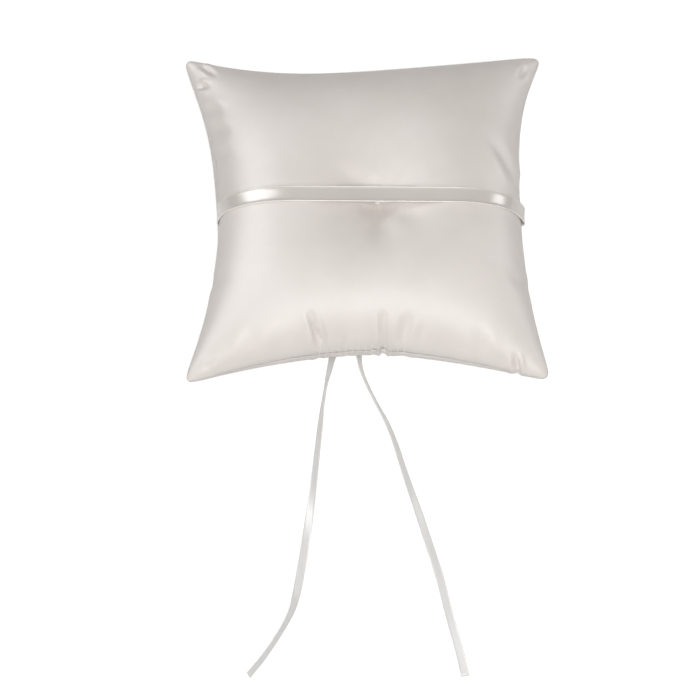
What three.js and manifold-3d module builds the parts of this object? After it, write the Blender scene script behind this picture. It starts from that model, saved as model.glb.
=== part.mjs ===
// Ring bearer pillow: a square satin cushion lying on its face, with a ribbon hand strap across its back,
// a tufted middle, and the two tails of the ring ribbon coming out from under its near edge.
// Millimetres, +Z up. The origin is the middle of the pillow's base; the tails point along -Y.
import * as THREE from "three";
import { mergeVertices } from "three/addons/utils/BufferGeometryUtils.js";
import Module from "manifold-3d";

// The pillow.
const WIDTH = 202; // corner to corner across, along X
const DEPTH = 208; // corner to corner front to back, along Y
const SEAM_HEIGHT = 25; // edge seam above the table
const CROWN = 27; // rise of the back above the seam
const PULL_LEFT = 17; // how far each side draws in halfway between its corners
const PULL_RIGHT = 14;
const PULL_FAR = 11;
const PULL_NEAR = 20;
const CORNER_ROUND = 3; // how far each corner tip is blunted
const CLOTH = 0.8; // satin with its turned edges
const SEAM_GAP = 0.3; // between the rims of the two panels
const CLEARANCE = 0.3; // between pieces that touch on the real pillow
const FILLING_CLEARANCE = 0.9; // between the loose fibre and the cloth

// Its fullness: height falls to the seam as (1 - u^FLATNESS)^SHOULDER, and less so near the corners.
const FLATNESS = 3.5;
const SHOULDER = 0.45;
const CORNER_THIN = 0.45;
const PULL_SHAPE = 1.3;
const BASE_SPREAD = 1.12; // over 1, so that the underside has a flat patch to rest on

// The tuft that dimples both faces.
const TUFT_X = 6;
const TUFT_Y = 0;
const BACK_DIMPLE = 11;
const BACK_DIMPLE_RADIUS = 21;
const FRONT_DIMPLE = 7;
const FRONT_DIMPLE_RADIUS = 18;
const DIMPLE_FADE = 0.1; // the front dimple ends where it is this shallow, so that the base is truly flat
const TUFT_THREAD_RADIUS = 0.5;
const KNOT_RADIUS = 1.8;
const KNOT_FLATNESS = 0.55; // its height over its width

// The hand strap.
const STRAP_WIDTH = 10;
const STRAP_THICKNESS = 0.6;
const STRAP_Y = 0;
const STRAP_TAIL = 5; // length of each end inside the seam

// Threads.
const THREAD_RADIUS = 0.25;
const SEAM_LINE = 2.2; // from the rim in to the machine seam
const CLOSING_LENGTH = 50;
const CLOSING_X = -3;
const STITCH_PITCH = 4;
const STITCH_RISE = 1.1; // how far a closing stitch reaches above and below the seam

// The ring ribbon and the shallow channel that it makes in the underside.
const RIBBON_WIDTH = 5;
const RIBBON_THICKNESS = 0.4;
const CHANNEL_LIFT = 1.4;
const CHANNEL_HALF_WIDTH = 20;
const CHANNEL_END = new THREE.Vector2(-14, -90);

const PANEL_CELLS = 22; // along each side of a panel
const EDGE_CROWDING = 0.18; // how much closer the cells lie near the edges

const wasm = await Module();
wasm.setup();

// --- The pillow's shape -------------------------------------------------------------------------

const pull = (amount, across) => amount * Math.pow(1 - across * across, PULL_SHAPE);

// The place on plan of the point (u, v), each from -1 to 1 from edge to edge.
function plan(u, v) {
  const blunt = CORNER_ROUND * Math.pow(u * v, 40);
  const halfWidth = WIDTH / 2 - pull(u < 0 ? PULL_LEFT : PULL_RIGHT, v) - blunt;
  const halfDepth = DEPTH / 2 - pull(v < 0 ? PULL_NEAR : PULL_FAR, u) - blunt;
  return new THREE.Vector2(u * halfWidth, v * halfDepth);
}

// 1 over the middle of the pillow, falling to 0 at the seam.
function fullness(u, v) {
  const across = 1 - Math.pow(Math.abs(u), FLATNESS);
  const along = 1 - Math.pow(Math.abs(v), FLATNESS);
  const corner = 1 - CORNER_THIN * Math.pow(u * v, 2);
  return Math.pow(Math.max(across * along, 0), SHOULDER) * corner;
}

function dimple(place, depth, radius) {
  const distance = Math.hypot(place.x - TUFT_X, place.y - TUFT_Y);
  return depth * Math.exp(-Math.pow(distance / radius, 2));
}

// The underside is lifted a little along the line that the ring ribbon takes to the near edge.
function channel(place) {
  const start = new THREE.Vector2(TUFT_X, TUFT_Y);
  const along = CHANNEL_END.clone().sub(start);
  const reach = place.clone().sub(start).dot(along) / along.lengthSq();
  const nearest = start.addScaledVector(along, THREE.MathUtils.clamp(reach, 0, 1));
  const aside = place.distanceTo(nearest) / CHANNEL_HALF_WIDTH;
  return CHANNEL_LIFT * (1 - THREE.MathUtils.smoothstep(aside, 0.6, 1));
}

// A point of the outer surface: face is 1 for the back, which lies uppermost, and -1 for the front.
function outerPoint(face, u, v) {
  const place = plan(u, v);
  const rim = (face * SEAM_GAP) / 2;
  let z = SEAM_HEIGHT + rim;
  if (face > 0) {
    z += (CROWN - rim) * fullness(u, v);
    z -= dimple(place, BACK_DIMPLE, BACK_DIMPLE_RADIUS);
  } else {
    z -= (SEAM_HEIGHT + rim) * Math.min(BASE_SPREAD * fullness(u, v), 1);
    z = Math.max(z, dimple(place, FRONT_DIMPLE, FRONT_DIMPLE_RADIUS) - DIMPLE_FADE, channel(place));
  }
  return new THREE.Vector3(place.x, place.y, z);
}

// The surface's outward direction. At the seam it is level.
function outward(face, u, v) {
  const step = 0.01;
  const slopeU = outerPoint(face, Math.min(u + step, 1), v).sub(outerPoint(face, Math.max(u - step, -1), v));
  const slopeV = outerPoint(face, u, Math.min(v + step, 1)).sub(outerPoint(face, u, Math.max(v - step, -1)));
  const normal = slopeU.cross(slopeV).multiplyScalar(face);
  if (Math.abs(u) === 1 || Math.abs(v) === 1) {
    normal.set(Math.trunc(u), Math.trunc(v), 0);
    return normal;
  }
  return normal.normalize();
}

const skinPoint = (face, u, v, inset) => outerPoint(face, u, v).addScaledVector(outward(face, u, v), -inset);

const spread = (t) => t * (1 + EDGE_CROWDING - EDGE_CROWDING * t * t);

// --- Helpers ------------------------------------------------------------------------------------

// A box of cells, each vertex of which is moved by a rule, as one closed mesh.
function mouldedBox(cells, rule) {
  const geometry = new THREE.BoxGeometry(2, 2, 2, cells, cells, 1);
  const position = geometry.getAttribute("position");
  for (let i = 0; i < position.count; i++) {
    const point = rule(spread(position.getX(i)), spread(position.getY(i)), position.getZ(i));
    position.setXYZ(i, point.x, point.y, point.z);
  }
  return geometry;
}

function bare(geometry) {
  const copy = geometry.clone();
  for (const name of Object.keys(copy.attributes)) {
    if (name !== "position") copy.deleteAttribute(name);
  }
  return mergeVertices(copy, 1e-4);
}

function solidOf(geometry) {
  const merged = bare(geometry);
  return new wasm.Manifold(
    new wasm.Mesh({
      numProp: 3,
      vertProperties: merged.getAttribute("position").array,
      triVerts: new Uint32Array(merged.index.array),
    }),
  );
}

// The first geometry with each of the others cut away. Crumbs that a cut leaves at a corner are dropped.
function cut(geometry, tools) {
  let solid = solidOf(geometry);
  for (const tool of tools) solid = solid.subtract(solidOf(tool));
  const [largest] = solid.decompose().sort((a, b) => b.volume() - a.volume());
  const mesh = largest.getMesh();
  const result = new THREE.BufferGeometry();
  result.setAttribute("position", new THREE.BufferAttribute(mesh.vertProperties, 3));
  result.setIndex(new THREE.BufferAttribute(mesh.triVerts, 1));
  result.computeVertexNormals();
  return result;
}

const placedBox = (x, y, z, at) => new THREE.BoxGeometry(x, y, z).translate(at.x, at.y, at.z);

const satin = (color) => new THREE.MeshStandardMaterial({ color, roughness: 0.38, metalness: 0 });
const thread = (color) => new THREE.MeshStandardMaterial({ color, roughness: 0.6, metalness: 0 });
const fibre = (color) => new THREE.MeshStandardMaterial({ color, roughness: 0.95, metalness: 0 });

const pillow = new THREE.Group();

function add(name, geometry, material) {
  const mesh = new THREE.Mesh(bare(geometry), material);
  mesh.name = name;
  mesh.geometry.computeVertexNormals();
  pillow.add(mesh);
}

// --- The case and its filling -------------------------------------------------------------------

const leftEdge = plan(-1, 0).x;
const rightEdge = plan(1, 0).x;
const strapSlotWidth = STRAP_WIDTH + 2 * CLEARANCE;
const strapSlotHeight = STRAP_THICKNESS + 2 * CLEARANCE;

// The room that a strap end takes at the seam, which the panels leave free.
function strapSlot(edge, inwards) {
  const reach = STRAP_TAIL + CLEARANCE;
  const outside = 1;
  const middle = new THREE.Vector3(edge + (inwards * (reach - outside)) / 2, STRAP_Y, SEAM_HEIGHT);
  return placedBox(reach + outside, strapSlotWidth, strapSlotHeight, middle);
}

// The same room in the filling, with the stitch that lies on the strap end.
function stitchSlot(edge, inwards) {
  const reach = STRAP_TAIL + 2 * CLEARANCE;
  const height = strapSlotHeight + 4 * THREAD_RADIUS + 2 * CLEARANCE;
  const middle = new THREE.Vector3(edge + (inwards * reach) / 2, STRAP_Y, SEAM_HEIGHT + THREAD_RADIUS);
  return placedBox(reach, strapSlotWidth + 2 * CLEARANCE, height, middle);
}

// A round thread along points, as a closed tube.
function tube(points, radius, steps, sides) {
  const section = new THREE.Shape();
  for (let i = 0; i < sides; i++) {
    const angle = (2 * Math.PI * i) / sides;
    const corner = [radius * Math.cos(angle), radius * Math.sin(angle)];
    if (i === 0) section.moveTo(...corner);
    else section.lineTo(...corner);
  }
  section.closePath();
  const path = new THREE.CatmullRomCurve3(points, false, "centripetal");
  return new THREE.ExtrudeGeometry(section, { steps, extrudePath: path, curveSegments: 1 });
}

// The machine seam runs just inside the rims, over the strap ends, and stops at the closing gap.
function seamRoute() {
  const lift = STRAP_THICKNESS / 2 + CLEARANCE + THREAD_RADIUS;
  const points = [];
  const place = (u, v) => {
    const level = new THREE.Vector3(...plan(u, v).toArray(), SEAM_HEIGHT);
    if (Math.abs(u) === 1) level.x -= u * SEAM_LINE;
    if (Math.abs(v) === 1) level.y -= v * SEAM_LINE;
    if (Math.abs(u) === 1) level.z += lift * (1 - THREE.MathUtils.smoothstep(Math.abs(v), 0.5, 0.85));
    return level;
  };
  const perSide = 14;
  const cornerCut = 0.93;
  const gapStart = (CLOSING_X - CLOSING_LENGTH / 2) / (WIDTH / 2);
  const gapEnd = (CLOSING_X + CLOSING_LENGTH / 2) / (WIDTH / 2);
  const along = (from, to, make) => {
    for (let i = 0; i <= perSide; i++) points.push(make(THREE.MathUtils.lerp(from, to, i / perSide)));
  };
  along(gapEnd, cornerCut, (t) => place(t, -1));
  along(-cornerCut, cornerCut, (t) => place(1, t));
  along(cornerCut, -cornerCut, (t) => place(t, 1));
  along(cornerCut, -cornerCut, (t) => place(-1, t));
  along(-cornerCut, gapStart, (t) => place(t, -1));
  return points;
}

// The thread itself, or, with room around it and past both its ends, the groove that it needs in the filling.
function seamTube(room) {
  const points = seamRoute();
  const lengthen = (end, next) => end.add(end.clone().sub(next).setLength(room));
  if (room > 0) {
    lengthen(points[0], points[1]);
    lengthen(points.at(-1), points.at(-2));
  }
  return tube(points, THREAD_RADIUS + room, points.length, 6);
}

const tuftHole = () =>
  new THREE.CylinderGeometry(TUFT_THREAD_RADIUS + CLEARANCE, TUFT_THREAD_RADIUS + CLEARANCE, 4 * CROWN, 12)
    .rotateX(Math.PI / 2)
    .translate(TUFT_X, TUFT_Y, SEAM_HEIGHT);

function panel(face) {
  const shell = mouldedBox(PANEL_CELLS, (u, v, w) => skinPoint(face, u, v, w * face > 0 ? 0 : CLOTH));
  return cut(shell, [strapSlot(leftEdge, 1), strapSlot(rightEdge, -1), tuftHole()]);
}

function filling() {
  const inset = CLOTH + FILLING_CLEARANCE;
  const rimInset = SEAM_LINE + THREAD_RADIUS;
  const atRim = (u, v) => Math.abs(u) === 1 || Math.abs(v) === 1;
  const body = mouldedBox(PANEL_CELLS, (u, v, w) => skinPoint(w, u, v, atRim(u, v) ? rimInset : inset));
  const slots = [stitchSlot(leftEdge, 1), stitchSlot(rightEdge, -1)];
  return cut(body, [...slots, tuftHole(), seamTube(CLEARANCE)]);
}

add("back_panel", panel(1), satin(0xeae3dc));
add("front_panel", panel(-1), satin(0xe4ddd5));
add("fibre_filling", filling(), fibre(0xf6f5f2));

// --- Threads ------------------------------------------------------------------------------------

// Ladder stitches that cross the seam from one panel to the other where the pillow was filled.
function closingThread() {
  const stitches = Math.round(CLOSING_LENGTH / STITCH_PITCH);
  const points = [];
  for (let i = 0; i <= stitches; i++) {
    const x = CLOSING_X + (i / stitches - 0.5) * CLOSING_LENGTH;
    const u = x / (WIDTH / 2);
    const y = plan(u, -1).y - CLEARANCE - THREAD_RADIUS;
    points.push(new THREE.Vector3(x, y, SEAM_HEIGHT + STITCH_RISE * (i % 2 ? 1 : -1)));
  }
  return tube(points, THREAD_RADIUS, 4 * stitches, 6);
}

// The bar of stitches that holds a strap end, lying across it inside the seam.
function strapStitch(edge, inwards) {
  const bar = new THREE.CapsuleGeometry(THREAD_RADIUS, STRAP_WIDTH - 2, 3, 8);
  const z = SEAM_HEIGHT + STRAP_THICKNESS / 2 + CLEARANCE + THREAD_RADIUS;
  return bar.translate(edge + inwards * (STRAP_TAIL - 1.5), STRAP_Y, z);
}

// The height of the middle of a knot that sits in the dimple of a panel, clear of the cloth around it.
function knotHeight(face) {
  const cloth = new THREE.Mesh(panel(face), new THREE.MeshStandardMaterial({ side: THREE.DoubleSide }));
  const above = SEAM_HEIGHT + 2 * face * (SEAM_HEIGHT + CROWN);
  const heights = [];
  for (let angle = 0; angle < 2 * Math.PI; angle += Math.PI / 6) {
    const x = TUFT_X + KNOT_RADIUS * Math.cos(angle);
    const y = TUFT_Y + KNOT_RADIUS * Math.sin(angle);
    const ray = new THREE.Raycaster(new THREE.Vector3(x, y, above), new THREE.Vector3(0, 0, -face));
    heights.push(face * ray.intersectObject(cloth)[0].point.z);
  }
  return face * (Math.max(...heights) + CLEARANCE + KNOT_RADIUS * KNOT_FLATNESS);
}

const backKnotZ = knotHeight(1);
const frontKnotZ = knotHeight(-1);

// The thread runs from just under the one knot to just over the other.
function tuftThread() {
  const length = backKnotZ - frontKnotZ - 2 * (KNOT_RADIUS * KNOT_FLATNESS + CLEARANCE);
  return new THREE.CylinderGeometry(TUFT_THREAD_RADIUS, TUFT_THREAD_RADIUS, length, 10)
    .rotateX(Math.PI / 2)
    .translate(TUFT_X, TUFT_Y, (backKnotZ + frontKnotZ) / 2);
}

const knot = (z) =>
  new THREE.SphereGeometry(KNOT_RADIUS, 14, 8).scale(1, 1, KNOT_FLATNESS).translate(TUFT_X, TUFT_Y, z);

add("seam_thread", seamTube(0), thread(0xe9e2da));
add("closing_thread", closingThread(), thread(0xf4efe9));
add("strap_stitch_left", strapStitch(leftEdge, 1), thread(0xe9e2da));
add("strap_stitch_right", strapStitch(rightEdge, -1), thread(0xe9e2da));
add("tuft_thread", tuftThread(), thread(0xe9e2da));
add("tuft_knot", knot(backKnotZ), thread(0xe9e2da));
add("ribbon_tack", knot(frontKnotZ), thread(0xe9e2da));

// --- The hand strap -----------------------------------------------------------------------------

// The line the strap takes, in the XZ plane: over the crown, bridging the dimple, into each seam.
function strapLine() {
  const standOff = CLEARANCE + STRAP_THICKNESS / 2;
  const steps = 36;
  const v = STRAP_Y / (DEPTH / 2);
  const surface = [];
  for (let i = 0; i <= steps; i++) {
    const u = Math.sin((i / steps - 0.5) * Math.PI);
    surface.push(new THREE.Vector2(plan(u, v).x, SEAM_HEIGHT + CROWN * fullness(u, v)));
  }
  const line = surface.map((point, i) => {
    const before = surface[Math.max(i - 1, 0)];
    const after = surface[Math.min(i + 1, steps)];
    const normal = new THREE.Vector2(before.y - after.y, after.x - before.x).normalize();
    if (i === 0 || i === steps) normal.set(i ? 1 : -1, 0);
    return point.clone().addScaledVector(normal, standOff);
  });
  line.unshift(new THREE.Vector2(leftEdge + STRAP_TAIL, SEAM_HEIGHT));
  line.push(new THREE.Vector2(rightEdge - STRAP_TAIL, SEAM_HEIGHT));
  return line;
}

// The outline of a strip of even thickness that follows a line, mitred where the line bends.
function stripOutline(line, thickness) {
  const side = (sign) =>
    line.map((point, i) => {
      const into = point.clone().sub(line[Math.max(i - 1, 0)]).normalize();
      const outOf = line[Math.min(i + 1, line.length - 1)].clone().sub(point).normalize();
      if (i === 0) into.copy(outOf);
      if (i === line.length - 1) outOf.copy(into);
      const along = into.clone().add(outOf).normalize();
      const normal = new THREE.Vector2(-along.y, along.x);
      const reach = thickness / 2 / Math.max(along.dot(into), 0.5);
      return point.clone().addScaledVector(normal, sign * reach);
    });
  return new THREE.Shape([...side(-1), ...side(1).reverse()]);
}

function handStrap() {
  const outline = stripOutline(strapLine(), STRAP_THICKNESS);
  return new THREE.ExtrudeGeometry(outline, { depth: STRAP_WIDTH, bevelEnabled: false })
    .rotateX(Math.PI / 2)
    .translate(0, STRAP_Y + STRAP_WIDTH / 2, 0);
}

add("hand_strap", handStrap(), satin(0xe2dcd5));

// --- The ring ribbon's tails --------------------------------------------------------------------

// Each tail leaves the tack under the pillow, comes down to the table and lies along it.
const LEFT_TAIL = [
  [3.2, -3.2, 4.3], [2, -8, 3.8], [-0.3, -15.5, 1.6], [-3.2, -23.5, 0.8], [-6, -32, 0.4],
  [-9.3, -42, 0.35], [-12.6, -52, 0.35], [-15.6, -62, 0.35], [-18.6, -73, 0.35], [-20.9, -84, 0.35],
  [-23, -95, 0.35], [-24.8, -107, 0.35], [-26.2, -120, 0.35], [-27.6, -134, 0.35], [-29, -148, 0.35],
  [-30.5, -162, 0.35], [-32.1, -176, 0.35], [-33.9, -190, 0.35], [-36, -205, 0.35], [-38.3, -220, 0.35],
  [-41, -232, 0.35], [-45.2, -242, 0.35], [-50.7, -252, 0.35], [-57, -262, 0.35], [-64.8, -272.5, 0.35],
];
const RIGHT_TAIL = [
  [8.8, -3.2, 4.3], [8.2, -8, 3.8], [7.4, -15.5, 1.6], [6.2, -23.5, 0.8], [4.4, -32, 0.4],
  [1.8, -42, 0.35], [-0.8, -52, 0.35], [-3.2, -62, 0.35], [-4.6, -73, 0.35], [-3.4, -84, 0.35],
  [0.4, -95, 0.35], [5.3, -106, 0.35], [10.6, -117, 0.35], [15.4, -130, 0.35], [19.4, -144, 0.35],
  [23.6, -158, 0.35], [28, -172, 0.35], [32.4, -187, 0.35], [36.6, -201, 0.35], [40.4, -215, 0.35],
  [43.7, -230, 0.35], [47.2, -245, 0.35], [50.6, -259, 0.35], [53.2, -272, 0.35],
];

// The section lies flat because an extrusion's second axis is level on a path that lies flat.
function ribbonTail(route) {
  const half = RIBBON_WIDTH / 2;
  const thin = RIBBON_THICKNESS / 2;
  const soft = 0.6;
  const section = new THREE.Shape();
  section.moveTo(-thin, -half * soft);
  section.lineTo(-thin * soft, -half);
  section.lineTo(thin * soft, -half);
  section.lineTo(thin, -half * soft);
  section.lineTo(thin, half * soft);
  section.lineTo(thin * soft, half);
  section.lineTo(-thin * soft, half);
  section.lineTo(-thin, half * soft);
  section.closePath();
  const path = new THREE.CatmullRomCurve3(route.map((p) => new THREE.Vector3(...p)), false, "centripetal");
  return new THREE.ExtrudeGeometry(section, { steps: 30, extrudePath: path });
}

add("ring_ribbon_left", ribbonTail(LEFT_TAIL), satin(0xdedad5));
add("ring_ribbon_right", ribbonTail(RIGHT_TAIL), satin(0xdedad5));

export default pillow;
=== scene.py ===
# %% [markdown]
# # A ring bearer pillow in ivory satin
# The pillow lies on its face. Its back shows: a crowned satin square, drawn in at a tuft in the middle,
# with a ribbon hand strap across it, and two narrow ribbon tails that come out from under the near edge.
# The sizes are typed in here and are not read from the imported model. The overall ones are close to its
# sizes, and the cloth and ribbons are thinner. The new surfaces keep to its box within a few millimetres.
# The threads at the tuft and at the ribbon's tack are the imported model's own.

# %% Load the frame
from math import atan, cos, pi, radians, sin, tau

import bpy
import numpy as np
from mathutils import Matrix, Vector
from mathutils.bvhtree import BVHTree


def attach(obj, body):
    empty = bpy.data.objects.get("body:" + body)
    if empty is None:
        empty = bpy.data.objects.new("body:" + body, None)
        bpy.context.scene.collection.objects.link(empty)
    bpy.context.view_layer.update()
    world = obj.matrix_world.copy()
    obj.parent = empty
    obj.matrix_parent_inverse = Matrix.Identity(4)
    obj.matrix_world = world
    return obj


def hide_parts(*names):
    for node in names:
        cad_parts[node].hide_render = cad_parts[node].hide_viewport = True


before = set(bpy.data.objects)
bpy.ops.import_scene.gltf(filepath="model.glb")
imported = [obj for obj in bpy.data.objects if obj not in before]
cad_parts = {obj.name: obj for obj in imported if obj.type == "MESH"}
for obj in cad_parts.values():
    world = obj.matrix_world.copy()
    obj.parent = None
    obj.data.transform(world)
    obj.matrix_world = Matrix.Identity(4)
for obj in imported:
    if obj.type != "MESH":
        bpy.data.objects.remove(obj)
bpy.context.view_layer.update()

MM = 0.001

# %% [markdown]
# ## The camera
# A long lens from over three metres away keeps the square nearly square. It looks down at 62 degrees, so
# that the back of the pillow fills the view and its thickness still reads at the near edge.

# %% Camera
VIEW_ELEVATION = radians(62)
VIEW_DISTANCE = 3.4
VIEW_WIDTH = 0.3917  # how much of the scene the frame takes in, at the point looked at
LOOK_AT = Vector((-9.6 * MM, -70.9 * MM, 0))

camera_data = bpy.data.cameras.new("product_camera")
camera_data.sensor_width = 36
camera_data.angle = 2 * atan(VIEW_WIDTH / 2 / VIEW_DISTANCE)
camera_data.clip_end = 20
camera = bpy.data.objects.new("product_camera", camera_data)
bpy.context.scene.collection.objects.link(camera)
back_off = Vector((0, -cos(VIEW_ELEVATION), sin(VIEW_ELEVATION)))
camera.location = LOOK_AT + VIEW_DISTANCE * back_off
camera.rotation_euler = (pi / 2 - VIEW_ELEVATION, 0, 0)
bpy.context.scene.camera = camera
print("lens", round(camera_data.lens), "mm")

# %% [markdown]
# ## Helpers for meshes
# Cloth pieces here are grids of points worked out with numpy. One helper turns points and faces into an
# object, and one sweeps a flat ribbon section along a route, because the strap and tails are ribbons.

# %% Mesh helpers
def unit(vectors):
    length = np.linalg.norm(vectors, axis=-1, keepdims=True)
    return vectors / np.maximum(length, 1e-12)


def make_object(name, points, faces, uvs=None):
    """A smooth-shaded object. uvs holds one pair, in metres of cloth, for each point."""
    mesh = bpy.data.meshes.new(name)
    mesh.from_pydata([tuple(p) for p in points], [], [tuple(f) for f in faces])
    if uvs is not None:
        layer = mesh.uv_layers.new(name="cloth")
        corners = np.empty(len(mesh.loops), dtype=np.int64)
        mesh.loops.foreach_get("vertex_index", corners)
        layer.data.foreach_set("uv", np.asarray(uvs, dtype=np.float32)[corners].ravel())
    mesh.polygons.foreach_set("use_smooth", [True] * len(mesh.polygons))
    piece = bpy.data.objects.new(name, mesh)
    bpy.context.scene.collection.objects.link(piece)
    return piece

# %% [markdown]
# The ribbons and the whip stitches run along a smooth line through a few points. A curve object could
# draw it, but the line's own points are needed later too, for a ribbon's roll and its length. So the line
# is worked out here, and resampled to an even spacing.

# %% A smooth route
STEPS_BETWEEN = 24  # points worked out between two given ones, before they are spaced evenly


def smooth_route(points, spacing):
    """Points at an even spacing on a smooth curve through the given ones (centripetal Catmull-Rom)."""
    p = np.asarray(points, dtype=float)
    p = np.vstack([2 * p[0] - p[1], p, 2 * p[-1] - p[-2]])
    fine = []
    for a, b, c, d in zip(p, p[1:], p[2:], p[3:]):
        t0 = 0.0
        t1 = t0 + np.linalg.norm(b[:3] - a[:3]) ** 0.5
        t2 = t1 + np.linalg.norm(c[:3] - b[:3]) ** 0.5
        t3 = t2 + np.linalg.norm(d[:3] - c[:3]) ** 0.5
        for t in np.linspace(t1, t2, STEPS_BETWEEN, endpoint=False):
            q1 = (t1 - t) / (t1 - t0) * a + (t - t0) / (t1 - t0) * b
            q2 = (t2 - t) / (t2 - t1) * b + (t - t1) / (t2 - t1) * c
            q3 = (t3 - t) / (t3 - t2) * c + (t - t2) / (t3 - t2) * d
            r1 = (t2 - t) / (t2 - t0) * q1 + (t - t0) / (t2 - t0) * q2
            r2 = (t3 - t) / (t3 - t1) * q2 + (t - t1) / (t3 - t1) * q3
            fine.append((t2 - t) / (t2 - t1) * r1 + (t - t1) / (t2 - t1) * r2)
    fine.append(p[-2])
    fine = np.array(fine)
    run = np.concatenate([[0], np.cumsum(np.linalg.norm(np.diff(fine[:, :3], axis=0), axis=1))])
    stops = np.linspace(0, run[-1], max(2, round(run[-1] / spacing) + 1))
    return np.column_stack([np.interp(stops, run, fine[:, k]) for k in range(fine.shape[1])])


def route_length(points):
    return float(np.linalg.norm(np.diff(points[:, :3], axis=0), axis=1).sum())

# %% [markdown]
# A woven ribbon is a flat strip with a firm, thicker edge on each side. A bevelled curve could make it, but
# its twist follows rules of its own. Here the section is placed at every point of the route, along a width
# direction that is worked out for that point.

# %% A woven ribbon
def ribbon(name, centre, across, width, thickness, curl=0.0):
    """A woven ribbon: a thin closed strip with thicker edges.

    across is its width direction at each point, and curl is how far its two edges bend down.
    """
    tangent = unit(np.gradient(centre, axis=0))
    across = unit(across - tangent * (across * tangent).sum(axis=1, keepdims=True))
    normal = np.cross(across, tangent)
    places = np.array([-1, -0.97, -0.88, -0.8, -0.5, 0, 0.5, 0.8, 0.88, 0.97, 1])
    swell = np.array([0.8, 1.9, 1.7, 1.0, 1.0, 1.0, 1.0, 1.0, 1.7, 1.9, 0.8])
    loop_side = np.concatenate([places, places[::-1]])
    loop_height = np.concatenate([swell, -swell[::-1]]) * thickness / 2
    loop_height -= curl * loop_side**2
    ring = len(loop_side)
    points = (
        centre[:, None, :]
        + across[:, None, :] * loop_side[None, :, None] * width / 2
        + normal[:, None, :] * loop_height[None, :, None]
    ).reshape(-1, 3)
    faces = []
    for i in range(len(centre) - 1):
        for j in range(ring):
            k = (j + 1) % ring
            faces.append((i * ring + j, i * ring + k, (i + 1) * ring + k, (i + 1) * ring + j))
    last = (len(centre) - 1) * ring
    for j in range(len(places) - 1):
        other = ring - 1 - j
        faces.append((j + 1, j, other, other - 1))
        faces.append((last + j, last + j + 1, last + other - 1, last + other))
    run = np.concatenate([[0], np.cumsum(np.linalg.norm(np.diff(centre, axis=0), axis=1))])
    uvs = np.array([(side * width / 2, along) for along in run for side in loop_side])
    return make_object(name, points, faces, uvs)

# %% [markdown]
# ## The ring ribbon's tails
# One length of 5 mm satin ribbon is stitched at its middle to the pillow's face, to tie the rings on. The
# pillow lies on that face, so only the two tails show. A ribbon this narrow does not lie flat all the
# way: it rolls onto its edge and back. So each route point has a place on the table and an angle of roll.

# %% Tail routes: x and y in millimetres, then the roll in degrees and the height over the table
RIBBON_WIDTH = 5 * MM
RIBBON_THICKNESS = 0.35 * MM
RIBBON_SPACING = 1.6 * MM
LEFT_TAIL = [
    (3.2, -3.2, 0, 4.3), (2, -8, 0, 3.8), (-0.3, -15.5, 0, 1.6), (-3.2, -23.5, 0, 0.8),
    (-6, -32, 0, 0.2), (-9.3, -42, 0, 0), (-12.6, -52, -4, 0), (-15.6, -62, -15, 0),
    (-18.6, -73, -34, 0), (-20.9, -84, -48, 0), (-23, -95, -68, 0), (-24.8, -107, -66, 0),
    (-26.2, -120, -54, 0), (-27.6, -134, -50, 0), (-29, -148, -42, 0), (-30.5, -162, -32, 0),
    (-32.1, -176, -16, 0), (-33.9, -190, 2, 0), (-36, -205, 12, 0), (-38.3, -220, 26, 0),
    (-41, -232, 52, 0), (-45.2, -242, 68, 0), (-50.7, -252, 70, 0), (-57, -262, 68, 0),
    (-64.8, -272.5, 64, 0),
]
RIGHT_TAIL = [
    (8.8, -3.2, 0, 4.3), (8.2, -8, 0, 3.8), (7.4, -15.5, 0, 1.6), (6.2, -23.5, 0, 0.8),
    (4.4, -32, 0, 0.2), (1.8, -42, 0, 0), (-0.8, -52, 6, 0), (-3.2, -62, 26, 0),
    (-4.6, -73, 52, 0), (-3.4, -84, 62, 0), (0.4, -95, 62, 0), (5.3, -106, 60, 0),
    (10.6, -117, 55, 0), (15.4, -130, 50, 0), (19.4, -144, 44, 0), (23.6, -158, 36, 0),
    (28, -172, 26, 0), (32.4, -187, 20, 0), (36.6, -201, 12, 0), (40.4, -215, 6, 0),
    (43.7, -230, 0, 0), (47.2, -245, -6, 0), (50.6, -259, -8, 0), (53.2, -272, -4, 0),
]


def ring_tail(name, route):
    """A tail of the ring ribbon, resting on whichever edge is down."""
    points = [(x * MM, y * MM, z * MM, radians(roll)) for x, y, roll, z in route]
    route = smooth_route(points, RIBBON_SPACING)
    roll = route[:, 3]
    rest = RIBBON_WIDTH / 2 * np.abs(np.sin(roll)) + RIBBON_THICKNESS * 0.7
    centre = np.column_stack([route[:, 0], route[:, 1], route[:, 2] + rest])
    tangent = unit(np.gradient(centre, axis=0))
    level = unit(np.cross(tangent, (0, 0, 1)))
    upright = np.cross(level, tangent)
    across = level * np.cos(roll)[:, None] + upright * np.sin(roll)[:, None]
    return ribbon(name, centre, across, RIBBON_WIDTH, RIBBON_THICKNESS), centre, roll


tails = {}
tail_lines = {}
for name, route in {"ring_ribbon_left": LEFT_TAIL, "ring_ribbon_right": RIGHT_TAIL}.items():
    tail, line, roll = ring_tail("satin_" + name, route)
    tails[name] = tail
    tail_lines[name] = list(zip(line, roll))
    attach(tail, "root")
    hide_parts(name)
    print(name, "is", round(route_length(line) * 1000), "mm long")

# %% [markdown]
# ## The satin case
# Two squares of satin are sewn face to face, turned and stuffed. Flat cloth cannot become a ball, so the
# sides draw in between the corners and the corners stay thin. The outline is four sides, each drawn in to
# a waist.

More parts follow.
